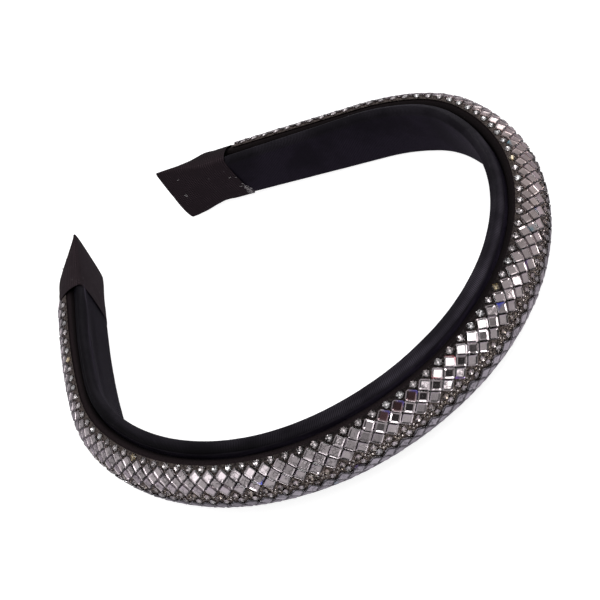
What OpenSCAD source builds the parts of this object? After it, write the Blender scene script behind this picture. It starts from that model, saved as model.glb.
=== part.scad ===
// Padded headband covered in satin, with two trims of cut stones side by side on its outer face.
// It lies on its lower rim, with the crown towards -Y and both tips turned in towards +Y.
// Distances run outwards from the crown, along the line of the upper edge row of stones.
// In the section, a points away from the head and h points up, both from the band's middle.

/* [Left side, from the crown outwards] */
// Length of the crown arc
left_crown_len = 112; // [108:1:116]
// Radius of the crown arc
left_crown_r = 75; // [72:1:78]
// Length of the bend above the ear
left_bend_len = 20; // [16:1:24]
// Radius of that bend
left_bend_r = 50; // [46:1:56]
// Length of the gentle curve behind the bend
left_temple_len = 31; // [28:1:34]
// Radius of that gentle curve
left_temple_r = 240; // [200:10:300]

/* [Right side, from the crown outwards] */
// Length of the crown arc
right_crown_len = 96; // [92:1:100]
// Radius of the crown arc
right_crown_r = 62; // [60:1:65]
// Length of the bend above the ear
right_bend_len = 17; // [14:1:20]
// Radius of that bend
right_bend_r = 36; // [34:1:40]
// Length of the curve behind the bend
right_temple_len = 20; // [17:1:23]
// Radius of that curve
right_temple_r = 60; // [55:1:70]

/* [Satin band] */
// Height of the band, rim to rim, round the crown
band_height = 22; // [21:0.5:23]
// Height of the band where the end wraps begin
band_end_height = 19; // [18.5:0.1:19.2]
// Thickness of the band
band_thickness = 3.6; // [3.4:0.1:3.8]
// Width of the strip pressed flat where the lower rim rests
rest_width = 1.2; // [0.8:0.1:1.6]
// Lean of the section, which turns the outer face a little upwards
lean = 9; // [7:1:10]
// Thickness of the band's bare core inside the end wraps
core_thickness = 2; // [1.6:0.1:2.2]
// Height of that core
core_height = 14; // [12:0.5:15]

/* [Padded cover] */
// Radius of the pad's round outer face
pad_r = 7.65; // [7.5:0.05:7.65]
// Distance of that round's centre in front of the band's middle
pad_a = 1; // [0.9:0.1:1.1]
// Distance of that round's centre above the band's middle
pad_h = 0.7; // [0.5:0.1:0.8]
// Radius of the pad's two edges beside the band
pad_edge_r = 1.25; // [1:0.05:1.4]

/* [Stone trims] */
// Distance between neighbouring stones of one row
stone_pitch = 4; // [4:0.05:4.2]
// Angle round the pad between neighbouring rows
row_step = 12.5; // [12.4:0.05:12.6]
// Angle from the pad's middle line to the inner edge row of either trim
inner_row = 6.5; // [6.3:0.1:6.7]
// Angle by which a trim's backing reaches past its outer edge row
border = 7.5; // [7.2:0.1:7.8]
// Distance from the middle of a square stone to a corner of its table
square_table = 1.45; // [1.35:0.05:1.5]
// The same distance on a round stone, whose table is cut with four corners
round_table = 0.75; // [0.65:0.05:0.8]
// Height of the stones' tables above the valleys between them
stone_height = 0.7; // [0.6:0.05:0.8]
// How far the lower trim is set on along the band
lower_trim_shift = 0.5; // [0:0.1:0.6]

/* [End wraps] */
// Distance from the crown to the left end wrap
left_wrap_from = 175.4; // [174:0.1:176]
// Distance from the crown to the right end wrap
right_wrap_from = 178; // [177:0.1:178.5]
// Exponent of the corner curve on the wraps' flat side, where a smaller one is squarer
wrap_corner = 0.4; // [0.35:0.05:0.5]

/* [Hidden] */
$fn = 180;

// Clearance between pieces that are wrapped or sewn together
gap = 0.15;
// Overlap of neighbouring stretches, which makes them one solid
lap = 0.01;
// How far the core reaches back into the band
core_reach = 1;
// Largest turn between two rings of the band
ring_turn = 6.5;

// Stretches of a side: name, length, radius; a radius of 0 is straight
LENGTH = 1;
RADIUS = 2;
TAIL_LEN = 60;
LEFT = [
    ["crown", left_crown_len, left_crown_r],
    ["bend", left_bend_len, left_bend_r],
    ["temple", left_temple_len, left_temple_r],
    ["tail", TAIL_LEN, 0]
];
RIGHT = [
    ["crown", right_crown_len, right_crown_r],
    ["bend", right_bend_len, right_bend_r],
    ["temple", right_temple_len, right_temple_r],
    ["tail", TAIL_LEN, 0]
];

// Rings of an end wrap: distance past its start, outer bulge, half thickness of the flat side,
// then a and h of the upper and of the lower edge
LEFT_RINGS = [
    [0, 9.4, 2.2, 0, 10, 0, -10],
    [6, 9.4, 2.2, 0, 9.8, 0, -9.9],
    [11, 8.9, 2, -0.2, 9.8, -0.2, -9.6],
    [16, 6.6, 1.7, -0.4, 10.1, -0.4, -10],
    [20.5, 3.6, 1.3, -0.7, 10.5, -0.6, -10.5],
    [23.8, 0.2, 0.8, -0.8, 10.8, -0.7, -10.75]
];
RIGHT_RINGS = [
    [0, 9.4, 2.2, 0, 10, 0, -10],
    [6, 9.4, 2.2, 0, 9.8, -0.2, -9.7],
    [10.5, 9.2, 2, 0, 9.9, -0.7, -9],
    [13.5, 7, 1.8, 0.1, 10.4, -1.3, -9.3],
    [18, 4, 1.5, 0.3, 11.1, -2.2, -10],
    [22, 1.8, 1.1, 0.4, 11.3, -2.9, -10.3],
    [24.8, 0, 0.8, 0.4, 11.2, -3.2, -10.36]
];
RING_AT = 0;
RING_BULGE = 1;
RING_HALF = 2;
RING_TOP = 3;
RING_BOTTOM = 5;
ring_points = 16;
// Exponent of the curve of the wraps' bulging side
bulge_curve = 1.1;
// Distance between the end of the band's core and the end of its wrap
core_stop = 6;

// Directions of the corners of the band's upper and lower rim; the lower rim has its flat strip
rest_half_angle = asin(rest_width / band_thickness);
rest_direction = 270 - lean;
UPPER_RIM = [0, 45, 90, 135, 180];
LOWER_RIM = [180, 210, rest_direction - rest_half_angle, rest_direction + rest_half_angle, 320, 360];

// Radii round the pad's middle of a trim's backing, of the valleys between its stones and of their
// tables
backing_r = 8.05;
valley_r = 8.2;
table_r = valley_r + stone_height;
// Radius and angle of the upper edge row, which lies on the line that distances run along
edge_row = inner_row + 4 * row_step;
edge_r = 8.6;
edge_a = pad_a + edge_r * cos(edge_row);
edge_h = pad_h + edge_r * sin(edge_row);

// Height of that line above the surface that the band rests on
rim_centre_h = (band_height - band_thickness) / 2;
line_z = band_thickness / 2 * cos(rest_half_angle)
    + edge_a * sin(lean)
    + (rim_centre_h + edge_h) * cos(lean);

// Position and heading after a stretch, from p = [x, y, heading]
function turn(length, radius) = radius == 0 ? 0 : length / radius * 180 / PI;
function advance(p, length, radius) =
    let (heading = p[2] + turn(length, radius))
    radius == 0
        ? [p[0] + length * cos(heading), p[1] + length * sin(heading), heading]
        : [p[0] + radius * (sin(heading) - sin(p[2])), p[1] - radius * (cos(heading) - cos(p[2])), heading];
function stretch_start(side, k) =
    k == 0 ? [0, 0, 0] : advance(stretch_start(side, k - 1), side[k - 1][LENGTH], side[k - 1][RADIUS]);
function along_side(side, distance, k = 0) =
    k == len(side) - 1 || distance <= side[k][LENGTH]
        ? advance(stretch_start(side, k), distance, side[k][RADIUS])
        : along_side(side, distance - side[k][LENGTH], k + 1);
function side_length(side, count) = count == 0 ? 0 : side[count - 1][LENGTH] + side_length(side, count - 1);

// Plan position and heading at a signed distance; the left side has negative distances
function plan(s) =
    let (p = along_side(s < 0 ? LEFT : RIGHT, abs(s)))
    s < 0 ? [-p[0], p[1], -p[2]] : p;

// A point of the section turned by the lean: offset from the line and height above the surface
function section(a, h) = [
    (a - edge_a) * cos(lean) - (h - edge_h) * sin(lean),
    line_z + (a - edge_a) * sin(lean) + (h - edge_h) * cos(lean)
];
function place(s, a, h) =
    let (p = plan(s), q = section(a, h))
    [p[0] + q[0] * sin(p[2]), p[1] - q[0] * cos(p[2]), q[1]];

// Directions at a signed distance: along the band, and round and out of the pad at an angle
function along(s) = let (t = plan(s)[2]) [cos(t), sin(t), 0];
function outwards(s) = let (t = plan(s)[2]) [sin(t), -cos(t), 0];
function climb(s, angle) = -sin(angle + lean) * outwards(s) + cos(angle + lean) * [0, 0, 1];
function on_pad(s, angle, radius) = place(s, pad_a + radius * cos(angle), pad_h + radius * sin(angle));

// Points of an arc about [a, h], one in each direction
function arc(a, h, radius, directions) = [for (d = directions) [a + radius * cos(d), h + radius * sin(d)]];

// Outline of the band at a height, anticlockwise from the outer side of the upper rim
function band_outline(height) = concat(
    arc(0, (height - band_thickness) / 2, band_thickness / 2, UPPER_RIM),
    arc(0, -(height - band_thickness) / 2, band_thickness / 2, LOWER_RIM));

// Outline of the pad: a flat back against the band, two small rounds and the large round face
pad_back = band_thickness / 2 + gap;
pad_edge_a = pad_back + pad_edge_r;
pad_edge_angle = acos((pad_edge_a - pad_a) / (pad_r - pad_edge_r));
pad_edge_h = (pad_r - pad_edge_r) * sin(pad_edge_angle);
face_steps = 14;
edge_steps = 4;
face_directions = [for (i = [0:face_steps]) pad_edge_angle * (2 * i / face_steps - 1)];
edge_directions = [for (i = [1:edge_steps]) pad_edge_angle + (180 - pad_edge_angle) * i / edge_steps];
PAD_OUTLINE = concat(
    arc(pad_a, pad_h, pad_r, face_directions),
    arc(pad_edge_a, pad_h + pad_edge_h, pad_edge_r, edge_directions),
    arc(pad_edge_a, pad_h - pad_edge_h, pad_edge_r, -reversed(edge_directions)));

// Middle of the object's outline, which the origin lies under
plan_step = 1;
face_reach = section(pad_a, pad_h)[0] + table_r;
plan_xs = [for (s = [-left_wrap_from:plan_step:right_wrap_from]) plan(s)[0] + face_reach * sin(plan(s)[2])];
tip_ys = [for (ring = wrap_rings(-1), p = ring) p[1]];
centre_x = (min(plan_xs) + max(plan_xs)) / 2;
centre_y = (max(tip_ys) - face_reach) / 2;

// Draws the 2-D children, given as offset and height, along a side up to a distance on its tail
module sweep(side, reach) {
    last = len(side) - 1;
    for (k = [0:last]) {
        length = k == last ? reach - side_length(side, k) : side[k][LENGTH] + lap;
        stretch(stretch_start(side, k), length, side[k][RADIUS]) children();
    }
}

module stretch(p, length, radius) {
    if (radius == 0) {
        translate([p[0], p[1], 0]) rotate([0, 0, p[2] - 90]) rotate([90, 0, 0])
            translate([0, 0, -length]) linear_extrude(length) children();
    } else {
        translate([p[0] - radius * sin(p[2]), p[1] + radius * cos(p[2]), 0])
            rotate([0, 0, p[2] - 90])
            rotate_extrude(angle = turn(length, radius)) translate([radius, 0]) children();
    }
}

module section_outline(points) {
    polygon([for (p = points) section(p[0], p[1])]);
}

// Faces of a skin through rings of count points each, with a flat face at either end
function skin_faces(rings, count) = concat(
    [[for (i = [0:count - 1]) i]],
    [for (r = [0:rings - 2], i = [0:count - 1])
        let (j = (i + 1) % count)
        each [
            [r * count + i, (r + 1) * count + i, (r + 1) * count + j],
            [r * count + i, (r + 1) * count + j, r * count + j]
        ]],
    [[for (i = [count - 1:-1:0]) (rings - 1) * count + i]]);
function flip(faces) = [for (f = faces) reversed(f)];

module skin(rings, mirrored) {
    faces = skin_faces(len(rings), len(rings[0]));
    polyhedron([for (ring = rings, p = ring) p], mirrored ? faces : flip(faces), convexity = 4);
}

// Distances of the band's rings on one side, and its height there; the tail tapers
function taper_from(sign) = sign < 0 ? side_length(LEFT, 2) : side_length(RIGHT, 3);
function side_rings(side) = [for (k = [0:2])
    let (steps = ceil(turn(side[k][LENGTH], side[k][RADIUS]) / ring_turn))
    for (i = [1:steps]) side_length(side, k) + side[k][LENGTH] * i / steps];
function height_at(sign, distance) =
    let (share = (distance - taper_from(sign)) / (wrap_from(sign) - gap - taper_from(sign)))
    band_height + (band_end_height - band_height) * max(0, share);
function band_ring(sign, d) = [for (p = band_outline(height_at(sign, d))) place(sign * d, p[0], p[1])];
function band_rings(sign) = [for (d = concat(side_rings(sign < 0 ? LEFT : RIGHT), [wrap_from(sign) - gap]))
    band_ring(sign, d)];
function reversed(list) = [for (i = [len(list) - 1:-1:0]) list[i]];

// Straight bar through the section's middle, from one distance to another on one side
module core(sign, from, to, spare) {
    thickness = core_thickness + 2 * spare;
    height = core_height + 2 * spare;
    outline = [[thickness, height], [-thickness, height], [-thickness, -height], [thickness, -height]] / 2;
    skin([for (d = [from, to]) [for (p = outline) place(sign * d, p[0], p[1])]], sign < 0);
}

// Rings of one end wrap: flat towards the head with rounded edges, bulging on the outer side
function wrap_from(sign) = sign < 0 ? left_wrap_from : right_wrap_from;
function wrap_table(sign) = sign < 0 ? LEFT_RINGS : RIGHT_RINGS;
function wrap_rings(sign) = [for (row = wrap_table(sign)) [for (i = [0:ring_points - 1])
    let (
        d = i * 360 / ring_points,
        share = (1 + sin(d)) / 2,
        spine = row[RING_BOTTOM] + (row[RING_TOP] - row[RING_BOTTOM]) * share,
        h = row[RING_BOTTOM + 1] + (row[RING_TOP + 1] - row[RING_BOTTOM + 1]) * share,
        a = cos(d) > 0
            ? spine + max(row[RING_BULGE] - spine, row[RING_HALF]) * pow(cos(d), bulge_curve)
            : spine - row[RING_HALF] * pow(-cos(d), wrap_corner)
    )
    place(sign * (wrap_from(sign) + row[RING_AT]), a, h)]];
function wrap_end(sign) = wrap_from(sign) + wrap_table(sign)[len(wrap_table(sign)) - 1][RING_AT];

module end_wrap(sign) {
    difference() {
        skin(wrap_rings(sign), sign < 0);
        core(sign, wrap_from(sign) - core_reach, wrap_end(sign) - core_stop + gap, gap);
    }
}

// Columns of a trim lie half a pitch apart. Whole ones hold the middle row of squares and the two
// edge rows of small rounds; half ones hold the two other rows of squares.
periods = floor((left_wrap_from + right_wrap_from - 2 * gap) / stone_pitch);
trim_start = gap - left_wrap_from;
seam_angle = 0.9;
high_row = inner_row + 3 * row_step;
middle_row = inner_row + 2 * row_step;
low_row = inner_row + row_step;
back_row = (edge_row + border + seam_angle) / 2;

// Numbers of a trim's points, in the order of trim_points
whole_first = 3 * (periods + 1);
half_first = whole_first + 2 * (periods + 1);
end_first = half_first + 3 * periods;
stone_first = end_first + 2;
function border_point(i) = 3 * i;
function back_point(i) = 3 * i + 1;
function seam_point(i) = 3 * i + 2;
function high_point(i) = whole_first + 2 * i;
function low_point(i) = whole_first + 2 * i + 1;
function edge_point(i) = half_first + 3 * i;
function middle_point(i) = half_first + 3 * i + 1;
function inner_point(i) = half_first + 3 * i + 2;

// The stones: column, angle, whether round, and the points of the valleys round them
COLUMN = 0;
ANGLE = 1;
ROUND = 2;
VALLEYS = 3;
STONES = concat(
    [for (i = [0:periods - 1]) each [
        [i + 0.5, high_row, false, [high_point(i + 1), edge_point(i), high_point(i), middle_point(i)]],
        [i + 0.5, low_row, false, [low_point(i + 1), middle_point(i), low_point(i), inner_point(i)]]
    ]],
    [for (i = [1:periods - 1]) each [
        [i, middle_row, false, [middle_point(i), high_point(i), middle_point(i - 1), low_point(i)]],
        [i, edge_row, true, [edge_point(i), border_point(i), edge_point(i - 1), high_point(i)]],
        [i, inner_row, true, [inner_point(i), low_point(i), inner_point(i - 1), seam_point(i)]]
    ]]);

// Corners of a stone's table, flat and square to the stone's own direction out of the pad
function table_points(s, angle, sign, is_round) =
    let (size = is_round ? round_table : square_table, first = is_round ? 45 : 0)
    [for (k = [0:3])
        on_pad(s, angle, table_r)
            + size * (cos(first + 90 * k) * along(s) + sign * sin(first + 90 * k) * climb(s, angle))];

function trim_points(sign, start) = concat(
    [for (i = [0:periods], angle = [edge_row + border, back_row, seam_angle])
        on_pad(start + i * stone_pitch, sign * angle, backing_r)],
    [for (i = [0:periods], angle = [high_row, low_row])
        on_pad(start + i * stone_pitch, sign * angle, valley_r)],
    [for (i = [0:periods - 1], angle = [edge_row, middle_row, inner_row])
        on_pad(start + (i + 0.5) * stone_pitch, sign * angle, valley_r)],
    [for (i = [0, periods]) on_pad(start + i * stone_pitch, sign * middle_row, valley_r)],
    [for (q = STONES, p = table_points(start + q[COLUMN] * stone_pitch, sign * q[ANGLE], sign, q[ROUND]))
        p]);

// One stone: the table and eight facets down to the valley points v; t is its first table point
function stone_faces(v, t, is_round) = concat(
    [for (k = [0:3]) let (n = (k + 1) % 4) each is_round
        ? [[v[k], t + k, v[n]], [v[n], t + k, t + n]]
        : [[v[k], t + k, t + n], [v[k], t + n, v[n]]]],
    [[t + 3, t + 2, t + 1, t]]);

// Bare backing beside the stones, the back, and the two ends of a trim
backing_faces = [for (i = [0:periods - 1]) each [
    [edge_point(i), border_point(i), border_point(i + 1)],
    [seam_point(i), inner_point(i), seam_point(i + 1)],
    [seam_point(i), seam_point(i + 1), back_point(i + 1)],
    [seam_point(i), back_point(i + 1), back_point(i)],
    [back_point(i), back_point(i + 1), border_point(i + 1)],
    [back_point(i), border_point(i + 1), border_point(i)]
]];
function end_faces(i, near, middle) = [
    [high_point(i), border_point(i), edge_point(near)],
    [low_point(i), middle, middle_point(near)],
    [middle, high_point(i), middle_point(near)],
    [seam_point(i), low_point(i), inner_point(near)],
    [border_point(i), high_point(i), back_point(i)],
    [high_point(i), middle, back_point(i)],
    [middle, low_point(i), back_point(i)],
    [low_point(i), seam_point(i), back_point(i)]
];
trim_faces = concat(
    backing_faces,
    end_faces(0, 0, end_first),
    flip(end_faces(periods, periods - 1, end_first + 1)),
    [for (k = [0:len(STONES) - 1]) let (q = STONES[k])
        each stone_faces(q[VALLEYS], stone_first + 4 * k, q[ROUND])]);

module stone_trim(sign, start) {
    polyhedron(trim_points(sign, start), sign < 0 ? flip(trim_faces) : trim_faces, convexity = 10);
}

// Puts the origin under the middle of the object's outline
module centred() {
    translate([-centre_x, -centre_y, 0]) children();
}

module satin_band() {
    color("#201d2a") centred() {
        skin(concat(reversed(band_rings(-1)), [band_ring(1, 0)], band_rings(1)), false);
        core(-1, left_wrap_from - gap - core_reach, wrap_end(-1) - core_stop, 0);
        core(1, right_wrap_from - gap - core_reach, wrap_end(1) - core_stop, 0);
    }
}

module padded_cover() {
    color("#33292b") centred() {
        mirror([1, 0, 0]) sweep(LEFT, left_wrap_from - gap) section_outline(PAD_OUTLINE);
        sweep(RIGHT, right_wrap_from - gap) section_outline(PAD_OUTLINE);
    }
}

module upper_stone_trim() {
    color("#b9b0b6") centred() stone_trim(1, trim_start);
}

module lower_stone_trim() {
    color("#c4bfc6") centred() stone_trim(-1, trim_start + lower_trim_shift);
}

module left_end_wrap() {
    color("#2a2424") centred() end_wrap(-1);
}

module right_end_wrap() {
    color("#2a2424") centred() end_wrap(1);
}

satin_band();
padded_cover();
upper_stone_trim();
lower_stone_trim();
left_end_wrap();
right_end_wrap();
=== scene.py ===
"""Dressed scene of the embellished headband: satin, padded cover, cut stones and ribbon-wrapped ends.

Lengths are in millimetres. Only the floor, the lamps, the camera's clipping, and the bumps and object
places in the materials are in metres. A place on the band is given by s, the distance along its line
from the crown, negative on the left side, and by a (away from the head) and h (up), both from the
middle of its leaning section.
"""
import math
import random

import bpy
import numpy as np
from mathutils import Matrix, Vector, noise


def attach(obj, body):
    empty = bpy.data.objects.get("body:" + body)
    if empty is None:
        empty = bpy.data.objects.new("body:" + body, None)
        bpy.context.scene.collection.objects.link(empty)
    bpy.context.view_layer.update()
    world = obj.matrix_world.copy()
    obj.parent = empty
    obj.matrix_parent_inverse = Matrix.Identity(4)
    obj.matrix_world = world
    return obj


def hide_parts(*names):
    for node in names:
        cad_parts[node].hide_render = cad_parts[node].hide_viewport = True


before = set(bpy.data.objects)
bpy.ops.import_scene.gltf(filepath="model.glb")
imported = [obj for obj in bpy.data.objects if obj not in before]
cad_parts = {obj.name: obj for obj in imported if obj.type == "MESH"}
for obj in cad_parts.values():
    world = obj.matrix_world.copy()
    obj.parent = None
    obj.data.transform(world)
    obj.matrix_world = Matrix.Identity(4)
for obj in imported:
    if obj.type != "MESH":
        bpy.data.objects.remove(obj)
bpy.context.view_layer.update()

MM = 0.001

# Camera

# The point that the middle of the view shows, and the camera's distance from it
AIM = Vector((-2.965, -12.401, 11))
DISTANCE = 331.329
# The view's direction in degrees: to the right of +Y, below the horizon and about its own axis
AZIMUTH, DOWNWARDS, ROLL = 10.426, 41.943, -38.003
LENS, SENSOR = 71.36, 36

camera = bpy.data.objects.new("camera", bpy.data.cameras.new("camera"))
bpy.context.collection.objects.link(camera)
camera.data.sensor_width = SENSOR
camera.data.lens = LENS
camera.data.clip_start = 0.01
camera.data.clip_end = 10
turned = (Matrix.Rotation(math.radians(-AZIMUTH), 4, "Z")
          @ Matrix.Rotation(math.radians(90 - DOWNWARDS), 4, "X")
          @ Matrix.Rotation(math.radians(ROLL), 4, "Z"))
camera.matrix_world = Matrix.Translation(AIM * MM) @ turned @ Matrix.Translation((0, 0, DISTANCE * MM))
bpy.context.scene.camera = camera

# Driving sizes, as in the CAD

# Stretches of each side, from the crown outwards: length, radius (None is straight)
SIDES = {
    -1: ((112, 75), (20, 50), (31, 240), (60, None)),
    1: ((96, 62), (17, 36), (20, 60), (60, None)),
}
# Place of the line at the crown, seen from above
CROWN = (6.465, -71.703)
LEAN = math.radians(9)
BAND_HEIGHT = 22
BAND_R = 1.8
# Width of the flat strip of the lower rim that the band rests on
REST_WIDTH = 1.2
# Distances from the crown at which the band starts to taper and the end wraps begin
TAPER_FROM = {-1: 132, 1: 133}
WRAP_FROM = {-1: 175.4, 1: 178}
TAPER = 3
GAP = 0.15
# The pad's round face, and the rounds of its two edges
PAD_A, PAD_H, PAD_R, PAD_EDGE_R = 1, 0.7, 7.65, 1.25
# Rows of a trim, as angles round the pad from its middle
ROW_STEP = math.radians(12.5)
INNER_ROW = math.radians(6.5)
BORDER = math.radians(7.5)
PITCH = 4
PERIODS = 88
LOWER_SHIFT = 0.5
BACKING_R = 8.2
# The line that distances run along is the upper edge row of stones
EDGE_ROW = INNER_ROW + 4 * ROW_STEP
EDGE_R = 8.6
EDGE_A = PAD_A + EDGE_R * math.cos(EDGE_ROW)
EDGE_H = PAD_H + EDGE_R * math.sin(EDGE_ROW)
REST_HALF_ANGLE = math.asin(REST_WIDTH / (2 * BAND_R))
LINE_Z = (BAND_R * math.cos(REST_HALF_ANGLE) + EDGE_A * math.sin(LEAN)
          + (BAND_HEIGHT / 2 - BAND_R + EDGE_H) * math.cos(LEAN))

# Distance between the rings of a cloth, and how far satin and pad run into the end wraps
RING_STEP = 0.8
TUCKED_IN = 1.5


def plan(s):
    """Plan position and heading at a signed distance from the crown."""
    sign = -1 if s < 0 else 1
    x = y = heading = 0.0
    left = abs(s)
    for length, radius in SIDES[sign]:
        if radius is None:
            x += left * math.cos(heading)
            y += left * math.sin(heading)
            break
        d = min(left, length)
        end = heading + d / radius
        x += radius * (math.sin(end) - math.sin(heading))
        y -= radius * (math.cos(end) - math.cos(heading))
        heading = end
        left -= d
        if left <= 0:
            break
    return sign * x, y, sign * heading


def place(s, a, h):
    """Points at one distance along the band, for numbers or arrays a and h."""
    x, y, t = plan(s)
    a, h = np.asarray(a, float), np.asarray(h, float)
    u = (a - EDGE_A) * math.cos(LEAN) - (h - EDGE_H) * math.sin(LEAN)
    z = LINE_Z + (a - EDGE_A) * math.sin(LEAN) + (h - EDGE_H) * math.cos(LEAN)
    return np.stack([x + CROWN[0] + u * math.sin(t), y + CROWN[1] - u * math.cos(t), z], -1)


def directions(s, angle):
    """Unit vectors along the band, round the pad and out of it, at an angle on the pad."""
    t = plan(s)[2]
    out = Vector((math.sin(t), -math.cos(t), 0))
    up = Vector((0, 0, 1))
    w = angle + LEAN
    return (Vector((math.cos(t), math.sin(t), 0)),
            -math.sin(w) * out + math.cos(w) * up,
            math.cos(w) * out + math.sin(w) * up)


def on_pad(s, angle, radius):
    """The point at an angle and a radius round the pad's middle."""
    return Vector(place(s, PAD_A + radius * math.cos(angle), PAD_H + radius * math.sin(angle)))


def wave(x, y, seed=0.0):
    """Smooth noise, about -1 to 1."""
    return noise.noise(Vector((x, y, seed)))


def clamp(value, low=0, high=1):
    return min(max(value, low), high)


def bell(value, centre, width):
    """1 at the centre, falling smoothly to either side."""
    return math.exp(-((value - centre) / width) ** 2)


# Meshes

def new_mesh(name, points, faces, surface, smooth=True, uvs=None, tints=None):
    """Makes an object of points in millimetres; uvs and tints hold one entry per point."""
    mesh = bpy.data.meshes.new(name)
    mesh.from_pydata([tuple(float(c) * MM for c in p) for p in points], [], faces)
    loops = np.empty(len(mesh.loops), dtype=np.int32)
    mesh.loops.foreach_get("vertex_index", loops)
    if uvs is not None:
        layer = mesh.uv_layers.new(name="cloth")
        layer.data.foreach_set("uv", np.asarray(uvs, np.float32)[loops].ravel())
    if tints is not None:
        layer = mesh.color_attributes.new("tint", "FLOAT_COLOR", "POINT")
        layer.data.foreach_set("color", np.asarray(tints, np.float32).ravel())
    mesh.polygons.foreach_set("use_smooth", [smooth] * len(mesh.polygons))
    mesh.materials.append(surface)
    mesh.validate()
    piece = bpy.data.objects.new(name, mesh)
    bpy.context.collection.objects.link(piece)
    return piece


def tube(name, rings, surface, uvs):
    """Closed skin through rings of equal length, with a flat face at each end."""
    n = len(rings[0])
    faces = [tuple(range(n - 1, -1, -1)), tuple((len(rings) - 1) * n + i for i in range(n))]
    for r in range(len(rings) - 1):
        for i in range(n):
            j = (i + 1) % n
            faces.append((r * n + i, r * n + j, (r + 1) * n + j, (r + 1) * n + i))
    return new_mesh(name, np.concatenate(rings), faces, surface, uvs=np.concatenate(uvs))


def with_lengths(rows):
    """An outline's rows (a, h and the normal) as an array, and each row's distance round it."""
    out = np.array(rows)
    steps = np.hypot(*np.diff(out[:, :2], axis=0).T)
    return out, np.concatenate([[0], np.cumsum(steps)])


def cloth_tube(name, outline_at, relief_at, surface):
    """A cloth along the whole band, each point of its outline moved outwards by the relief."""
    rings, uvs = [], []
    for s in np.arange(-WRAP_FROM[-1] - TUCKED_IN, WRAP_FROM[1] + TUCKED_IN + 0.01, RING_STEP):
        out, v = outline_at(s)
        relief = np.array([relief_at(s, *row, w) for row, w in zip(out, v)])
        ring = place(s, out[:, 0] + out[:, 2] * relief, out[:, 1] + out[:, 3] * relief)
        ring[:, 2] = np.maximum(ring[:, 2], 0.0)
        rings.append(ring)
        uvs.append(np.stack([np.full(len(v), s), v], -1))
    return tube(name, rings, surface, uvs)


def dress(piece, node):
    """Lets a piece ride on the body, in the place of a CAD node, which it hides."""
    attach(piece, "root")
    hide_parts(node)
    return piece


# Materials

class Look:
    """The nodes of a material or of the world, and the place that its textures read."""

    def __init__(self, tree, shader, spot=None):
        self.tree = tree
        self.shader = tree.nodes[shader]
        self.spot = spot

    def put(self, socket, value):
        """Gives an input a number or a colour, or links another node's output to it."""
        if isinstance(value, bpy.types.NodeSocket):
            self.tree.links.new(value, socket)
        else:
            socket.default_value = value

    def fill(self, node, **values):
        """Puts values on a node's inputs, in whose names _ is a space, or else on its settings."""
        for name, value in values.items():
            socket = node.inputs.get(name.replace("_", " "))
            if socket is None:
                setattr(node, name, value)
            else:
                self.put(socket, value)
        return node

    def coat(self, **values):
        """Puts values on the shader itself."""
        self.fill(self.shader, **values)

    def add(self, kind, **values):
        return self.fill(self.tree.nodes.new("ShaderNode" + kind), **values)

    def texture(self, kind, **values):
        return self.add("Tex" + kind, Vector=self.spot, **values).outputs

    def split(self, vector):
        """X, Y and Z of a vector."""
        return self.add("SeparateXYZ", Vector=vector).outputs

    def between(self, value, low, high, to_low=0.0, to_high=1.0):
        """A value carried from one range to another, held at both ends."""
        ends = {"From_Min": low, "From_Max": high, "To_Min": to_low, "To_Max": to_high}
        return self.add("MapRange", Value=value, **ends).outputs["Result"]

    def maths(self, operation, *values):
        made = self.add("Math", operation=operation)
        for socket, value in zip(made.inputs, values):
            self.put(socket, value)
        return made.outputs[0]

    def times(self, first, second):
        return self.maths("MULTIPLY", first, second)

    def ramp(self, value, low, high, dark, light):
        """From the dark to the light colour as the value goes from low to high."""
        made = self.add("ValToRGB", Fac=value)
        for end, position, colour in zip(made.color_ramp.elements, (low, high), (dark, light)):
            end.position = position
            end.color = (*colour, 1)
        return made.outputs["Color"]

    def scaled(self, colour, amount):
        made = self.add("VectorMath", operation="SCALE", Scale=amount)
        self.put(made.inputs[0], colour)
        return made.outputs["Vector"]

    def mixed(self, share, first, second, how="MIX"):
        return self.add("MixRGB", blend_type=how, Fac=share, Color1=first, Color2=second).outputs["Color"]

    def bumped(self, height, strength, distance):
        made = self.add("Bump", Strength=strength, Distance=distance, Height=height)
        self.coat(Normal=made.outputs["Normal"])


def material(name):
    made = bpy.data.materials.new(name)
    made.use_nodes = True
    return made, Look(made.node_tree, "Principled BSDF")


def cloth(name, roughness, specular, sheen=0.0):
    """A cloth, whose textures follow s along the band and the distance v round its outline."""
    made, look = material(name)
    look.coat(Roughness=roughness, Specular_IOR_Level=specular, Sheen_Weight=sheen)
    look.spot = look.add("UVMap", uv_map="cloth").outputs["UV"]
    return made, look


def satin_painted_light(look, s, v, inside):
    """Painted light and shade: how much the cloth's colour is dimmed or raised along the band and round its
    rim.
    """
    # Painted shade: dimmer on both sides, and most on the left side's inner face
    painted_light = look.times(look.between(s, -75, 0, 0.55, 1.0), look.between(s, 35, 55, 1.0, 0.62))
    painted_light = look.times(painted_light, look.between(inside, 0, 1, 1.0, look.between(s, -90, 0, 0.3, 0.95)))
    # A painted highlight wanders along the fold of the left tail
    wander = look.texture("Noise", Scale=0.11, Detail=3.0)["Fac"]
    crest = look.maths("MULTIPLY_ADD", wander, 3.0, 4.7)
    off = look.maths("ABSOLUTE", look.maths("SUBTRACT", v, crest))
    fold_highlight = look.times(look.between(off, 0.1, 0.6, 1.0, 0.0), look.between(s, -125, -112, 1.0, 0.0))
    painted_light = look.times(painted_light, look.between(fold_highlight, 0, 1, 1.0, 5.0))
    # Painted light and shade: the rim's outer slope is dark on the left side and bright from the crown on;
    # the slope ends higher up the rim on the left tail
    outer = look.maths("ADD", look.between(s, -60, -10, 0.3, 1.7), look.between(s, 60, 85, 0.0, -0.3))
    slope_from = look.between(s, -120, -90, 2.5, 0.8)
    slope_to = look.between(s, -120, -90, 3.6, 2.2)
    return look.times(painted_light, look.between(v, slope_from, slope_to, outer))


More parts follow.
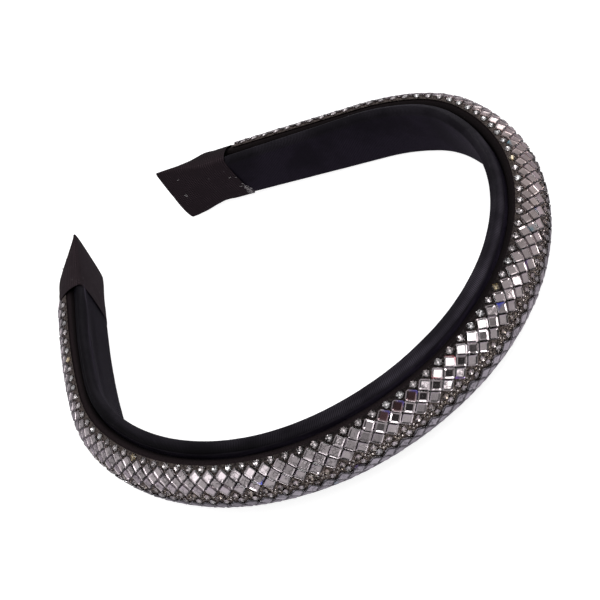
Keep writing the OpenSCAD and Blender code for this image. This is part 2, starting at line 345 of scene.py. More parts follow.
def satin():
    made, look = cloth("black satin", 0.55, 0.045, sheen=0.02)
    look.coat(Sheen_Tint=(0.75, 0.65, 1, 1), Sheen_Roughness=0.4)
    s, v, _ = look.split(look.spot)
    # Slanting ribs show in patches, where the satin is pulled over the rim
    slanted = look.add("Mapping", Vector=look.spot, Rotation=(0, 0, math.radians(12))).outputs["Vector"]
    twill = look.add("TexWave", Vector=slanted, Scale=0.62, Distortion=0.7, Detail=1.0, Detail_Scale=0.4)
    patches = look.texture("Noise", Scale=0.075, Detail=3.0)["Fac"]
    ribs = look.times(twill.outputs["Fac"], look.between(patches, 0.42, 0.6, 0.2, 1.0))
    threads = look.texture("Noise", Scale=4.0, Detail=2.0)["Fac"]
    look.bumped(look.maths("MULTIPLY_ADD", threads, 0.4, ribs), 0.6, 0.00012)
    look.coat(Roughness=look.between(threads, 0.3, 0.7, 0.48, 0.64))
    shade = look.ramp(ribs, 0.0, 0.9, (0.0108, 0.0093, 0.0128), (0.043, 0.038, 0.0495))
    # The inner face looks bluer
    inside = look.between(v, 5.4, 6.4)
    toned = look.scaled(shade, satin_painted_light(look, s, v, inside))
    look.coat(Base_Color=look.mixed(inside, toned, (0.97, 0.86, 1.14, 1), "MULTIPLY"))
    return made


def pad_cloth():
    made, look = cloth("dark brown pad cloth", 0.85, 0.08)
    s, v, _ = look.split(look.spot)
    net = look.texture("Voronoi", Scale=1.7, feature="DISTANCE_TO_EDGE")["Distance"]
    fuzz = look.texture("Noise", Scale=2.6, Detail=5.0, Roughness=0.7)["Fac"]
    shade = look.ramp(fuzz, 0.35, 0.75, (0.0085, 0.0055, 0.0065), (0.034, 0.024, 0.0265))
    # Painted shade: lighter by the trim, dark where it rolls into the groove, and sooner so from the crown on
    roll = look.maths("ADD", v, look.between(s, -20, 15, 0, 0.9))
    look.coat(Base_Color=look.scaled(shade, look.between(roll, 18.4, 19.7, 1.0, 0.3)))
    look.bumped(look.maths("ADD", net, fuzz), 0.5, 0.0001)
    return made


def net_cloth():
    """The glittery mesh under the stones; its v runs from the pad's middle to the trim's edge."""
    made, look = cloth("glitter mesh", 0.6, 0.14)
    s, v, _ = look.split(look.spot)
    cells = look.texture("Voronoi", Scale=1.5, feature="DISTANCE_TO_EDGE")["Distance"]
    glitter = look.texture("Voronoi", Scale=1.5)
    patches = look.texture("Noise", Scale=1.1, Detail=4.0, Roughness=0.7)["Fac"]
    # Painted shade: darker and plainer away from the pad's middle, less so on both sides than round the
    # crown, and darker under the edge row
    sides = look.maths("MAXIMUM", look.between(s, 28, 48), look.between(s, -35, -85))
    painted_gap_light = look.between(v, 1.4, 3.0, 1.0, look.between(sides, 0, 1, 0.5, 0.88))
    painted_gap_light = look.times(painted_gap_light, look.between(v, 7.9, 8.5, 1.0, 0.75))
    shade = look.ramp(look.times(patches, painted_gap_light), 0.2, 0.6, (0.0125, 0.009, 0.0095), (0.27, 0.22, 0.2))
    # Crumbs of glitter, some of them bright, along the middle of the pad
    crumb = look.between(glitter["Distance"], 0.5, 0.3)
    chance = look.add("SeparateColor", Color=glitter["Color"]).outputs["Red"]
    spark = look.times(crumb, look.between(chance, 0.35, 0.7))
    spark = look.times(spark, look.between(v, 1.6, 2.4, 1.0, 0.0))
    look.coat(Base_Color=look.mixed(spark, shade, (0.75, 0.67, 0.58, 1)), Metallic=spark)
    look.coat(Roughness=look.between(spark, 0, 1, 0.65, 0.3))
    look.bumped(look.maths("MULTIPLY_ADD", glitter["Distance"], -1.5, cells), 0.9, 0.0004)
    return made


def ribbon():
    made, look = cloth("black-brown grosgrain", 0.85, 0.06, sheen=0.02)
    ribs = look.texture("Wave", Scale=0.42, Distortion=0.6, Detail=1.0, Detail_Scale=0.6)["Fac"]
    cross = look.texture("Wave", Scale=0.5, Distortion=0.4, bands_direction="Y")["Fac"]
    weave = look.maths("MULTIPLY_ADD", cross, 0.7, ribs)
    look.bumped(weave, 0.5, 0.00012)
    # The weave's tone shows in patches, with flecks of lint
    stain = look.texture("Noise", Scale=0.22, Detail=4.0, Roughness=0.65)["Fac"]
    shown = look.times(look.maths("SUBTRACT", weave, 0.85), look.between(stain, 0.46, 0.58, 0.12, 1.0))
    shown = look.maths("ADD", look.maths("ADD", shown, look.times(stain, 0.2)), 0.26)
    shade = look.ramp(shown, 0.0, 1.0, (0.0085, 0.0055, 0.007), (0.053, 0.0375, 0.0445))
    lint = look.texture("Voronoi", Scale=0.3, Randomness=1.0)["Distance"]
    mixed = look.mixed(look.between(lint, 0.1, 0.05), shade, (0.07, 0.062, 0.065, 1))
    # Painted shade: the outer, upper faces are darkened
    _, v, _ = look.split(look.spot)
    look.coat(Base_Color=look.scaled(mixed, look.between(v, 9.0, 12.5, 0.6, 1.0)))
    return made


def loose_thread():
    made, look = cloth("frayed thread", 0.7, 0.3)
    fibres = look.texture("Noise", Scale=2.0)["Fac"]
    look.coat(Base_Color=look.ramp(fibres, 0.3, 0.7, (0.3, 0.28, 0.29), (0.85, 0.82, 0.82)))
    return made


def stone_glass():
    """Clear glass, smeared here and there."""
    made, look = material("cut glass")
    look.coat(Base_Color=(0.97, 0.955, 0.965, 1), IOR=1.53, Transmission_Weight=1)
    look.spot = look.add("TexCoord").outputs["Object"]
    smear = look.texture("Noise", Scale=900.0, Detail=2.0)["Fac"]
    look.coat(Roughness=look.between(smear, 0.45, 0.75, 0.0, 0.04))
    return made


def stone_foil():
    """Mirror foil in each stone's tint, which also carries painted light and shade, with fine dark lines in
    clouds where it has aged.
    """
    made, look = material("mirror foil")
    look.coat(Metallic=1)
    look.spot = look.add("TexCoord").outputs["Object"]
    x, y, z = look.split(look.spot)
    cracks = look.texture("Voronoi", Scale=900.0, feature="DISTANCE_TO_EDGE")["Distance"]
    clouds = look.texture("Noise", Scale=420.0, Detail=3.0)["Fac"]
    lines = look.between(cracks, 0.02, 0.11, 0.35, 1.0)
    whole = look.between(clouds, 0.47, 0.6, 1.0, 0.0)
    # The upper trim is fresh round the crown and to the right of it
    fresh = look.maths("MINIMUM", look.between(x, -0.05, -0.015), look.between(y, 0.0, -0.03))
    fresh = look.times(fresh, look.between(z, 0.0105, 0.0125))
    clean = look.maths("MAXIMUM", look.maths("MAXIMUM", lines, whole), fresh)
    clean = look.times(clean, look.between(clouds, 0.3, 0.75, 1.08, 0.82))
    tint = look.add("Attribute", attribute_name="tint").outputs["Color"]
    look.coat(Base_Color=look.scaled(tint, clean))
    grain = look.texture("Noise", Scale=1400.0, Detail=2.0)["Fac"]
    look.coat(Roughness=look.between(grain, 0.3, 0.7, 0.02, 0.09))
    return made


SATIN, PAD_CLOTH, NET, RIBBON, THREAD = satin(), pad_cloth(), net_cloth(), ribbon(), loose_thread()
GLASS, FOIL = stone_glass(), stone_foil()

# Satin band

RIM_STEPS = 16
INNER_FACE_STEPS = 14
OUTER_FACE_STEPS = 4

# The long fold of the left tail: its middle and half length along the band, where its ridge is
# lowest, and the heights of the ridge there and of the hollow below it
FOLD_AT, FOLD_REACH = -146, 33
RIDGE_AT, RIDGE_H, HOLLOW_H = -147, 7.5, 4.4


def band_height(s):
    """Rim to rim; both tails taper towards the wraps."""
    sign = -1 if s < 0 else 1
    share = (abs(s) - TAPER_FROM[sign]) / (WRAP_FROM[sign] - TAPER_FROM[sign])
    return BAND_HEIGHT - TAPER * clamp(share, 0, 1.05)


def band_outline(s):
    """Round the upper rim from its outer side, down the inner face and back round the lower rim."""
    c = band_height(s) / 2 - BAND_R
    rows = []
    for middle, start in ((c, 0), (-c, math.pi)):
        for i in range(RIM_STEPS + 1):
            d = start + math.pi * i / RIM_STEPS
            rows.append((BAND_R * math.cos(d), middle + BAND_R * math.sin(d), math.cos(d), math.sin(d)))
        if middle > 0:
            for i in range(1, INNER_FACE_STEPS):
                rows.append((-BAND_R, c - 2 * c * i / INNER_FACE_STEPS, -1, 0))
    for i in range(1, OUTER_FACE_STEPS):
        rows.append((BAND_R, -c + 2 * c * i / OUTER_FACE_STEPS, 1, 0))
    return with_lengths(rows)


def satin_relief(s, a, h, out_a, out_h, v):
    """Soft folds of the satin, out of its surface."""
    r = 0.05 * wave(s / 11, v / 7, 1) + 0.02 * wave(s / 3, v / 3, 2)
    if h > 8 and a > 0:
        # Pulled flat over the rim's outer slope, towards the pad
        slope = math.atan2(max(h - (band_height(s) / 2 - BAND_R), 0), a)
        r -= 0.5 * math.sin(2 * slope) ** 1.5
    if a < -1:
        window = max(0, 1 - ((s - FOLD_AT) / FOLD_REACH) ** 2)
        ridge = RIDGE_H + 0.002 * (s - RIDGE_AT) ** 2 + 0.4 * wave(s / 9, 0, 3)
        hollow = HOLLOW_H + 0.4 * wave(s / 12, 0, 4)
        r += window * (0.3 * bell(h, ridge, 0.8) - 0.28 * bell(h, hollow, 1.5))
    return r


def make_satin():
    piece = cloth_tube("satin_band_cover", band_outline, satin_relief, SATIN)
    dress(piece, "satin_band")


# Padded cover

FACE_STEPS = 40
EDGE_STEPS = 10
BACK_STEPS = 6


def pad_outline():
    """Up the pad's round face, over its upper edge, down the flat back and round the lower edge."""
    back = BAND_R + GAP
    edge_a = back + PAD_EDGE_R
    turn = math.acos((edge_a - PAD_A) / (PAD_R - PAD_EDGE_R))
    edge_h = (PAD_R - PAD_EDGE_R) * math.sin(turn)
    rows = []
    for i in range(FACE_STEPS + 1):
        d = turn * (2 * i / FACE_STEPS - 1)
        rows.append((PAD_A + PAD_R * math.cos(d), PAD_H + PAD_R * math.sin(d), math.cos(d), math.sin(d)))
    for side in (1, -1):
        for i in range(1, EDGE_STEPS + 1)[::side]:
            d = side * (turn + (math.pi - turn) * i / EDGE_STEPS)
            rows.append((edge_a + PAD_EDGE_R * math.cos(d), PAD_H + side * edge_h + PAD_EDGE_R * math.sin(d),
                         math.cos(d), math.sin(d)))
        if side > 0:
            for i in range(1, BACK_STEPS):
                rows.append((back, PAD_H + edge_h * (1 - 2 * i / BACK_STEPS), -1, 0))
    return with_lengths(rows)


PAD_OUTLINE = pad_outline()


def pad_relief(s, a, h, out_a, out_h, v):
    """Slight waves, but none on the back."""
    return 0.0 if out_a < -0.9 else 0.05 * wave(s / 4, v / 3, 5) - 0.03


def make_pad():
    piece = cloth_tube("padded_cover_cloth", lambda s: PAD_OUTLINE, pad_relief, PAD_CLOTH)
    dress(piece, "padded_cover")


# Stone trims

ROWS = {
    "inner": INNER_ROW,
    "low": INNER_ROW + ROW_STEP,
    "middle": INNER_ROW + 2 * ROW_STEP,
    "high": INNER_ROW + 3 * ROW_STEP,
    "edge": EDGE_ROW,
    "chips": math.radians(2.9),
}
BRILLIANTS = ("inner", "edge", "chips")
TRIM_FROM = GAP - WRAP_FROM[-1]

# The backing starts this far from the pad's middle; its hidden side has one v, past the edge
SEAM = math.radians(0.9)
BACKING_STEPS = 20
BACKING_INNER_R, HIDDEN_V = 8.03, 9

# Two chips lie before each stone of the inner row, this many pitches off
CHIPS_BEFORE = (0.63, 0.37)

# Corners of a square and of a brilliant, in shares of the half sizes
SQUARE = [(1, 0.09), (0.09, 1), (-0.09, 1), (-1, 0.09), (-1, -0.09), (-0.09, -1), (0.09, -1), (1, -0.09)]
OCTAGON = [(math.cos(math.radians(22.5 + 45 * k)), math.sin(math.radians(22.5 + 45 * k))) for k in range(8)]

# Rows of corners of the glass bodies, from the base over the girdle to the table, and of the foil
# dishes, from the base over the rim to the middle: height above the backing, share of the half
# sizes, turn
SQUARE_GLASS = ((-0.02, 0.96, 0), (0.36, 1.0, 0), (0.64, 0.81, 0))
SQUARE_FOIL = ((0.0, 0.95, 0), (0.3, 0.985, 0), (0.2, 0.6, 0))
ROUND_GLASS = ((-0.02, 0.9, 0), (0.32, 1.0, 0), (0.74, 0.55, math.pi / 8))
ROUND_FOIL = ((0.0, 0.86, 0), (0.33, 0.94, 0), (0.04, 0.25, 0))
CHIP_FLATNESS = 0.55

# First points of a dish's rim and middle, and the number of its points
RIM, MIDDLE, DISH_POINTS = 8, 16, 24

# Half sizes: a square's half diagonals along the band and round the pad, and the radii of the
# brilliants, where chips have a range
SQUARE_ALONG, SQUARE_ACROSS = 1.91, 1.79
INNER_SIZE, EDGE_SIZE, CHIP_SIZES = 0.95, 1.07, (0.26, 0.34)

# Spread of the tilts of the loose stones near the pad's middle and of the others
LOOSE, WELL_SET = 0.11, 0.02

# Painted light: the foil is brighter on both sides than at the crown and on the tails
FOIL_LIGHT_AT = (-145, -100, -30, 30, 105, 145)
PAINTED_FOIL_LIGHT = (0.9, 1.32, 0.92, 1, 1.4, 1)
SILVER_PINK, BLUER = np.array([0.7, 0.642, 0.66]), np.array([0.88, 0.95, 0.95])
CLEAR, CLEAR_LOW = np.array([1.0, 0.94, 0.94]), np.array([0.95, 0.9, 0.88])
SMOKY, BRONZE, AMBER = np.array([0.86, 0.79, 0.76]), np.array([0.62, 0.54, 0.46]), np.array([0.8, 0.68, 0.46])

# Between these distances the tables of the upper trim's high row look dark red, with a blue side
RED_FROM, RED_TO = -23, -11
DARK_RED, BLUE_SIDE = (0.13, 0.055, 0.06, 1), (0.2, 0.2, 0.8, 1)
# Colours of painted flashes of light in the cuts of a few squares
PAINTED_FLASHES = [(0.12, 0.16, 0.85, 1), (0.35, 0.18, 0.7, 1), (0.6, 0.12, 0.14, 1), (0.25, 0.5, 0.6, 1),
           (0.55, 0.45, 0.12, 1)]


def make_backing(name, node_name, sign, start):
    """The dark mesh that a trim's stones are set on."""
    outer = [SEAM + (EDGE_ROW + BORDER - SEAM) * i / BACKING_STEPS for i in range(BACKING_STEPS + 1)]
    profile = [(t, BACKING_R) for t in outer] + [(t, BACKING_INNER_R) for t in reversed(outer[::4])]
    rings, uvs = [], []
    for s in np.arange(start, start + PERIODS * PITCH + 0.01, RING_STEP):
        a, h, v = [], [], []
        for t, r in profile:
            in_sight = r == BACKING_R
            if in_sight:
                r += 0.03 * wave(s / 1.5, t * 6, 8 + sign)
            a.append(PAD_A + r * math.cos(t))
            h.append(PAD_H + sign * r * math.sin(t))
            v.append(t * BACKING_R if in_sight else HIDDEN_V)
        rings.append(place(s, a, h))
        uvs.append(np.stack([np.full(len(v), s), np.array(v)], -1))
    if sign < 0:
        rings = [ring[::-1] for ring in rings]
        uvs = [uv[::-1] for uv in uvs]
    dress(tube(name, rings, NET, uvs), node_name)


def stone_faces(first, brilliant):
    """Faces of a body of three rows of eight corners; a brilliant has triangles round its table."""
    faces = []
    for k in range(8):
        a, b = first + k, first + (k + 1) % 8
        faces.append((a, b, b + 8, a + 8))
        if brilliant:
            faces.append((a + 8, b + 8, a + 16))
            faces.append((b + 8, b + 16, a + 16))
        else:
            faces.append((a + 8, b + 8, b + 16, a + 16))
    faces.append(tuple(first + 16 + k for k in range(8)))
    faces.append(tuple(first + k for k in range(7, -1, -1)))
    return faces


def stone_points(cut, outline, centre, axes, size, tall):
    points = []
    for height, share, turn in cut:
        c, q = math.cos(turn), math.sin(turn)
        for x, y in outline:
            x, y = x * c - y * q, x * q + y * c
            points.append(centre + axes[0] * x * size[0] * share + axes[1] * y * size[1] * share
                          + axes[2] * (tall * height))
    return points


def stone_axes(rng, s, row, sign):
    """Directions along, across and out of a stone, each a little askew."""
    axes = directions(s, sign * ROWS[row])
    loose = LOOSE if row in ("inner", "chips") else WELL_SET
    tilt = Matrix.Rotation(rng.gauss(0, loose), 3, axes[0]) @ Matrix.Rotation(rng.gauss(0, loose), 3, axes[1])
    if row == "inner":
        spin = rng.uniform(-0.2, 0.2)
    elif row in BRILLIANTS:
        spin = rng.uniform(0, 0.8)
    else:
        spin = rng.gauss(0, 0.02)
    spin = Matrix.Rotation(spin, 3, axes[2])
    along, across, out = [tilt @ spin @ v for v in axes]
    return (along, across, out) if sign > 0 else (-across, along, out)


def stone_size(rng, row, sign):
    """Half sizes along a stone's first two axes."""
    scale = rng.gauss(1, 0.008)
    along, across = SQUARE_ALONG, SQUARE_ACROSS
    if row in BRILLIANTS:
        across = {"chips": rng.uniform(*CHIP_SIZES), "inner": INNER_SIZE, "edge": EDGE_SIZE}[row]
        along = across * (rng.uniform(0.72, 1.2) if row == "inner" else 1)
    return (along * scale, across * scale) if sign > 0 else (across * scale, along * scale)


def stone_tint_and_painted_light(rng, s, row, sign):
    """Silver foil with a pinkish cast, browner on the right of the crown and painted darker there as shade;
    the squares' foil also carries painted light.
    """
    brown_and_shade = bell(s, 62, 40)
    if row == "inner" and sign < 0:
        base = CLEAR_LOW * (1 - 0.45 * brown_and_shade)
    elif row in ("inner", "chips"):
        base = BRONZE if rng.random() < 0.35 else SMOKY
        base = base * (1 - 0.55 * brown_and_shade) * np.array([1, 1 - 0.1 * brown_and_shade, 1 - 0.1 * brown_and_shade])
    elif row == "edge":
        base = AMBER if rng.random() < 0.05 else CLEAR
    else:
        base = SILVER_PINK * np.interp(s, FOIL_LIGHT_AT, PAINTED_FOIL_LIGHT)
        base = base * (1 - 0.1 * brown_and_shade) * np.array([1, 1 - 0.07 * brown_and_shade, 1 - 0.12 * brown_and_shade])
        if sign < 0:
            # The lower trim's foil is bluer, and painted darker as shade away from the crown and round two
            # places along the band
            base = base * BLUER * (1 - 0.24 * clamp((abs(s) - 30) / 30))
            base = base * (1 - 0.3 * bell(s, -82, 22)) * (1 - 0.35 * bell(s, 50, 16))
    return np.clip(base * rng.uniform(0.85, 1.12), 0, 1)


def odd_facets(rng, s, row, sign):
    """Points of a dish that have another colour, with their colours."""
    if row == "high" and sign > 0 and RED_FROM < s < RED_TO:
        table = [(k, DARK_RED) for k in range(MIDDLE, DISH_POINTS)]
        return table + [(k, BLUE_SIDE) for k in (RIM, MIDDLE - 1)]
    if rng.random() < 0.035 and row not in BRILLIANTS:
        # A painted flash of colour in one corner of the cut
        corner, colour = rng.randrange(8), rng.choice(PAINTED_FLASHES)
        return [(RIM + (corner + k) % 8, colour) for k in range(3)] + [(MIDDLE + (corner + 1) % 8, colour)]
    return []


def painted_dish_tints(tint, brilliant, painted_sparkle_fade, odd):
    tints = [(*tint, 1)] * DISH_POINTS
    if brilliant:
        # Painted sparkle: light and painted dark facets take turns round a brilliant
        for k in range(0, 8, 2):
            tints[RIM + k] = (*((0.1 + 0.6 * painted_sparkle_fade) * tint), 1)
            tints[MIDDLE + k] = (*((0.4 + 0.4 * painted_sparkle_fade) * tint), 1)
    for k, colour in odd:
        tints[k] = colour
    return tints


def trim_places():
    """Column and row of each stone; the high and the low row stand between the other columns."""
    for i in range(PERIODS):
        yield from ((i + 0.5, "high"), (i + 0.5, "low"))
    for i in range(1, PERIODS):
        yield from ((i, "middle"), (i, "edge"), (i, "inner"))
        yield from ((i - before, "chips") for before in CHIPS_BEFORE)


def make_stones(name, node_name, sign, start, seed):
    """The stones of a trim: all glass bodies as one piece, all foil dishes inside them as another."""
    rng = random.Random(seed)
    glass, glass_faces, foil, foil_faces, tints = [], [], [], [], []
    for column, row in trim_places():
        s = start + column * PITCH
        brilliant = row in BRILLIANTS
        axes = stone_axes(rng, s, row, sign)
        centre = on_pad(s, sign * ROWS[row], BACKING_R + rng.gauss(0, 0.015))
        size = stone_size(rng, row, sign)
        # The painted sparkle of the brilliants is fainter on both tails and on the lower trim, and the tails'
        # stones are painted darker
        painted_sparkle_fade = clamp((abs(s + 8) - 95) / 25)
        tint = (1 - 0.1 * painted_sparkle_fade) * stone_tint_and_painted_light(rng, s, row, sign)
        odd = odd_facets(rng, s, row, sign)
        tints += painted_dish_tints(tint, brilliant, max(painted_sparkle_fade, 0.25 if sign < 0 else 0), odd)
        body = (OCTAGON if brilliant else SQUARE, centre, axes, size, CHIP_FLATNESS if row == "chips" else 1)
        glass_faces += stone_faces(len(glass), brilliant)
        glass += stone_points(ROUND_GLASS if brilliant else SQUARE_GLASS, *body)
        foil_faces += stone_faces(len(foil), False)
        foil += stone_points(ROUND_FOIL if brilliant else SQUARE_FOIL, *body)
    dress(new_mesh(name + "_glass", glass, glass_faces, GLASS, smooth=False), node_name)
    dress(new_mesh(name + "_foil", foil, foil_faces, FOIL, smooth=False, tints=tints), node_name)


# End wraps

# Distance past the wrap's start, outer bulge, half thickness of the flat side,
# then a and h of the upper and of the lower edge, as in the CAD
WRAPS = {
    -1: ((0, 9.4, 2.2, 0, 10, 0, -10), (6, 9.4, 2.2, 0, 9.8, 0, -9.9), (11, 8.9, 2, -0.2, 9.8, -0.2, -9.6),
         (16, 6.6, 1.7, -0.4, 10.1, -0.4, -10), (20.5, 3.6, 1.3, -0.7, 10.5, -0.6, -10.5),
         (23.8, 0.2, 0.8, -0.8, 10.8, -0.7, -10.75)),
    1: ((0, 9.4, 2.2, 0, 10, 0, -10), (6, 9.4, 2.2, 0, 9.8, -0.2, -9.7), (10.5, 9.2, 2, 0, 9.9, -0.7, -9),
        (13.5, 7, 1.8, 0.1, 10.4, -1.3, -9.3), (18, 4, 1.5, 0.3, 11.1, -2.2, -10),
        (22, 1.8, 1.1, 0.4, 11.3, -2.9, -10.3), (24.8, 0, 0.8, 0.4, 11.2, -3.2, -10.36)),
}
# Exponents of the curves of the bulging side and of the flat side's corners, as in the CAD
BULGE_CURVE, CORNER_CURVE = 1.1, 0.4
AROUND = 96
WRAP_RINGS = 60
# Ribbon that one turn round the end takes, in the cloth's coordinates
RIBBON_TURN = 48
# The ribbon's edges show as low steps: turns per millimetre along the end, and the steps' height
TURNS_PER_MM, STEP_HEIGHT = 0.17, 0.1
# The ribbon turns in over its hem: distance past the wrap's start, and inset
HEM = ((3.5, 0.4), (0.4, 0.35), (0.05, 0.2))


def wrap_row(rows, d):
    """The wrap's table at a distance, with smooth slopes between its rows."""
    table = np.array(rows, float)
    x, y = table[:, 0], table[:, 1:]
    slope = np.gradient(y, x, axis=0)
    k = int(np.clip(np.searchsorted(x, d) - 1, 0, len(x) - 2))
    w = x[k + 1] - x[k]
    t = clamp((d - x[k]) / w)
    return ((2 * t**3 - 3 * t**2 + 1) * y[k] + (t**3 - 2 * t**2 + t) * w * slope[k]
            + (3 * t**2 - 2 * t**3) * y[k + 1] + (t**3 - t**2) * w * slope[k + 1])


def wrap_ring(sign, d, inset=0.0, relief=True):
    """One ring of a wrap, drawn in by the inset, and its cloth coordinates."""
    bulge, half, top_a, top_h, low_a, low_h = wrap_row(WRAPS[sign], max(d, 0))
    mid = (top_h + low_h) / 2
    a, h, v = [], [], []
    for i in range(AROUND):
        t = 2 * math.pi * i / AROUND
        c, share = math.cos(t), (1 + math.sin(t)) / 2
        spine = low_a + (top_a - low_a) * share
        y = low_h + (top_h - low_h) * share
        x = max(bulge - spine, half) * c**BULGE_CURVE if c > 0 else -half * (-c)**CORNER_CURVE
        fold = 0.0
        if relief:
            turns = (d * TURNS_PER_MM + t / (2 * math.pi)) % 1.0
            fold = STEP_HEIGHT * (turns - 0.5) * min(1, d / 2) + 0.05 * wave(d / 4, t * 2, 11 + sign)
        grow = 1 + (fold - inset) / max(abs(c) * abs(x) + abs(math.sin(t)) * abs(top_h), 0.8)
        a.append(spine + x * grow)
        h.append(mid + (y - mid) * (1 + (min(fold, 0) - inset) / 10))
        v.append(t / (2 * math.pi) * RIBBON_TURN)
    ring = place(sign * (WRAP_FROM[sign] + d), a, h)
    if sign > 0:
        # The right end's lower corner is rounded off
        heading = plan(WRAP_FROM[1] + d)[2]
        low = np.maximum(-np.sin(2 * np.pi * np.arange(AROUND) / AROUND), 0) ** 4
        back = 0.9 * low * clamp((d - 19) / 5.8) ** 2
        ring[:, 0] -= back * math.cos(heading)
        ring[:, 1] -= back * math.sin(heading)
    ring[:, 2] = np.maximum(ring[:, 2], 0.0)
    return ring, np.stack([np.full(AROUND, float(d)), np.array(v)], -1)


def make_wrap(name, node_name, sign):
    length = WRAPS[sign][-1][0]
    rings = [wrap_ring(sign, d, inset, False) for d, inset in HEM]
    rings += [wrap_ring(sign, d) for d in (*np.linspace(0, length - 0.5, WRAP_RINGS), length - 0.2)]
    rings.append(wrap_ring(sign, length, 0.12))
    points = [ring if sign > 0 else ring[::-1] for ring, _ in rings]
    dress(tube(name, points, RIBBON, [uv for _, uv in rings]), node_name)


# Threads

THREAD_R = 0.055
THREAD_RINGS, THREAD_SIDES = 5, 5


def wrap_face(sign, s, h, outer):
    """The a of a wrap's outer or inner face at a height."""
    bulge, half, top_a, top_h, low_a, low_h = wrap_row(WRAPS[sign], max(sign * s - WRAP_FROM[sign], 0))
    share = (h - low_h) / (top_h - low_h)
    spine = low_a + (top_a - low_a) * share
    c = math.sqrt(max(1 - (2 * share - 1) ** 2, 0))
    return spine + max(bulge - spine, half) * c**BULGE_CURVE if outer else spine - half * c**CORNER_CURVE


def thread_spots(rng):
    """Frayed ends at the right wrap's edge and lint caught on both ribbons: s, h, length, outer face."""
    spots = [(178.3 + rng.gauss(0, 0.45), rng.uniform(-8.7, -2.6), rng.uniform(0.6, 1.7), False)
             for _ in range(40)]
    spots += [(197.9 + 0.2 * k, 0.1 - 0.15 * k, 1.3, False) for k in range(3)]
    spots += [(196.7, 7.2, 0.7, False), (180.3, 2.1, 0.8, False), (178.6, 1.5, 0.7, False)]
    spots += [(-193 + rng.gauss(0, 0.25), 6.7 + rng.gauss(0, 0.3), 0.8, True) for _ in range(4)]
    spots += [(-188.5 + rng.gauss(0, 0.3), 7.4 + rng.gauss(0, 0.3), 0.9, True) for _ in range(5)]
    return spots


def make_threads():
    rng = random.Random(9)
    points, faces, uvs = [], [], []
    for s, h, length, outer in thread_spots(rng):
        way = rng.uniform(0, 2 * math.pi)
        a = wrap_face(1 if s > 0 else -1, s, h, outer)
        out = 1 if outer else -1
        first = len(points)
        for i in range(THREAD_RINGS):
            t = (i / (THREAD_RINGS - 1) - 0.5) * length
            bend = 0.15 * math.sin(i * 1.7 + way)
            rise = 0.06 + 0.04 * (i % 2)
            for k in range(THREAD_SIDES):
                d = 2 * math.pi * k / THREAD_SIDES
                points.append(place(s + t * math.cos(way) + bend, a + out * (rise + THREAD_R * math.cos(d)),
                                    h + t * math.sin(way) + THREAD_R * math.sin(d)))
                uvs.append((t * 3, k + s))
        last = first + THREAD_SIDES * (THREAD_RINGS - 1)
        for ring in range(first, last, THREAD_SIDES):
            for k in range(THREAD_SIDES):
                n = (k + 1) % THREAD_SIDES
                faces.append((ring + k, ring + n, ring + THREAD_SIDES + n, ring + THREAD_SIDES + k))
        faces.append(tuple(first + k for k in reversed(range(THREAD_SIDES))))
        faces.append(tuple(last + k for k in range(THREAD_SIDES)))
    piece = new_mesh("frayed_threads", points, faces, THREAD, uvs=uvs)
    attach(piece, "root")


make_satin()
make_pad()
make_backing("upper_trim_backing", "upper_stone_trim", 1, TRIM_FROM)
make_backing("lower_trim_backing", "lower_stone_trim", -1, TRIM_FROM + LOWER_SHIFT)
make_stones("upper_trim", "upper_stone_trim", 1, TRIM_FROM, 3)
make_stones("lower_trim", "lower_stone_trim", -1, TRIM_FROM + LOWER_SHIFT, 4)
make_wrap("left_wrap_ribbon", "left_end_wrap", -1)
make_wrap("right_wrap_ribbon", "right_end_wrap", 1)
make_threads()

# Floor

FLOOR_REACH = 3
FLOOR_Z = -0.0001

corners = [(x * FLOOR_REACH, y * FLOOR_REACH, FLOOR_Z) for x, y in ((-1, -1), (1, -1), (1, 1), (-1, 1))]
floor_mesh = bpy.data.meshes.new("floor")
floor_mesh.from_pydata(corners, [], [(0, 1, 2, 3)])
floor_material, floor_look = material("pale floor")
floor_look.coat(Base_Color=(0.6, 0.6, 0.6, 1), Roughness=0.9)
floor_look.coat(Emission_Color=(1, 1, 1, 1), Emission_Strength=0.86)
floor_mesh.materials.append(floor_material)
floor = bpy.data.objects.new("floor", floor_mesh)
bpy.context.collection.objects.link(floor)
# The photograph's white is no light on the object: reflections see the world's grey instead
floor.visible_glossy = False
floor.visible_diffuse = False
floor.visible_transmission = False

# Light

WHITE, LILAC = (1, 1, 1), (1, 0.975, 1)
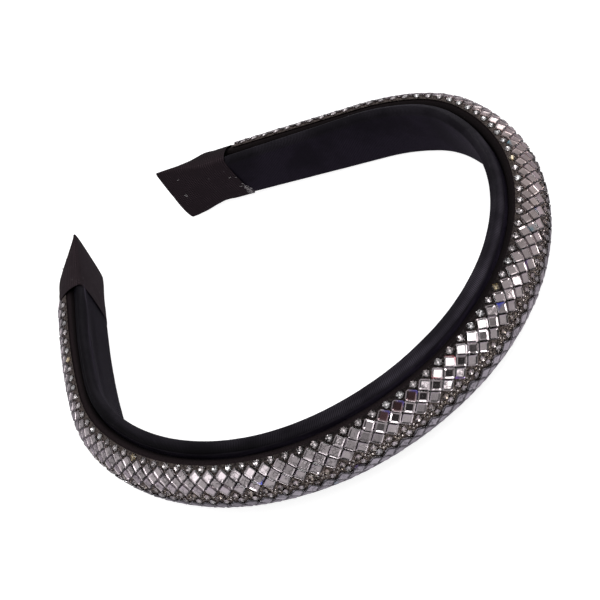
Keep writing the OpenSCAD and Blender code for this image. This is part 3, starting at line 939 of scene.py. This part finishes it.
# Soft boxes: direction from the object, distance, width, height, radiance, tint
SOFTBOXES = {
    "key": ((0.23, -0.53, 0.82), 1.0, 0.46, 0.34, 4.0, WHITE),
    "top": ((0.0, 0.2, 1.0), 1.3, 1.5, 1.2, 0.52, LILAC),
    "top_left": ((-0.5, 0.2, 0.84), 1.3, 0.5, 0.26, 2.3, LILAC),
    "top_right": ((0.42, 0.0, 0.9), 1.3, 0.35, 0.3, 1.3, LILAC),
    "left": ((-0.75, -0.02, 0.66), 1.3, 0.5, 0.4, 0.85, LILAC),
    "right": ((0.72, 0.36, 0.6), 1.3, 0.45, 0.45, 1.9, WHITE),
    "behind": ((0.72, 0.68, 0.14), 1.3, 0.7, 0.35, 1.6, WHITE),
}
# Directions of small bright lamps for the sparkle in the cuts, and their other values
SPARKS = [(-0.75, -0.6, 0.4), (0.8, -0.7, 0.35), (0.1, -0.95, 0.12), (0.75, 0.45, 0.8), (-0.4, -0.35, 0.9)]
SPARK = (1.2, 0.1, 0.1, 9, WHITE)


def softbox(name, direction, distance, width, height, radiance, tint):
    light = bpy.data.lights.new(name, "AREA")
    light.shape = "RECTANGLE"
    light.size, light.size_y = width, height
    light.energy = radiance * width * height * math.pi
    light.color = tint
    lamp = bpy.data.objects.new(name, light)
    bpy.context.collection.objects.link(lamp)
    lamp.location = Vector(direction).normalized() * distance
    lamp.rotation_mode = "QUATERNION"
    lamp.rotation_quaternion = (-lamp.location).to_track_quat("-Z", "Y")


def light_world():
    """A grey room with a dark patch of sky on the crown's side and a lighter ground."""
    world = bpy.data.worlds.new("studio")
    bpy.context.scene.world = world
    world.use_nodes = True
    look = Look(world.node_tree, "Background")
    ray = look.add("TexCoord").outputs["Generated"]
    _, y, z = look.split(ray)
    toward = look.add("VectorMath", operation="DOT_PRODUCT")
    look.put(toward.inputs[0], ray)
    look.put(toward.inputs[1], Vector((0.03, -0.87, 0.48)).normalized())
    above = look.between(toward.outputs["Value"], 0.80, 0.97, 0.4, 0.04)
    below = look.between(y, 0, 0.4, 0.54, 0.34)
    tone = look.mixed(look.between(z, -0.35, 0.05), (0.96, 0.89, 1, 1), (1, 0.985, 0.99, 1))
    look.coat(Strength=look.between(z, 0.0, 0.3, below, above), Color=tone)


for title, values in SOFTBOXES.items():
    softbox(title, *values)
for n, direction in enumerate(SPARKS):
    softbox("spark_%d" % n, direction, *SPARK)
light_world()

bpy.context.scene.view_settings.view_transform = "Standard"
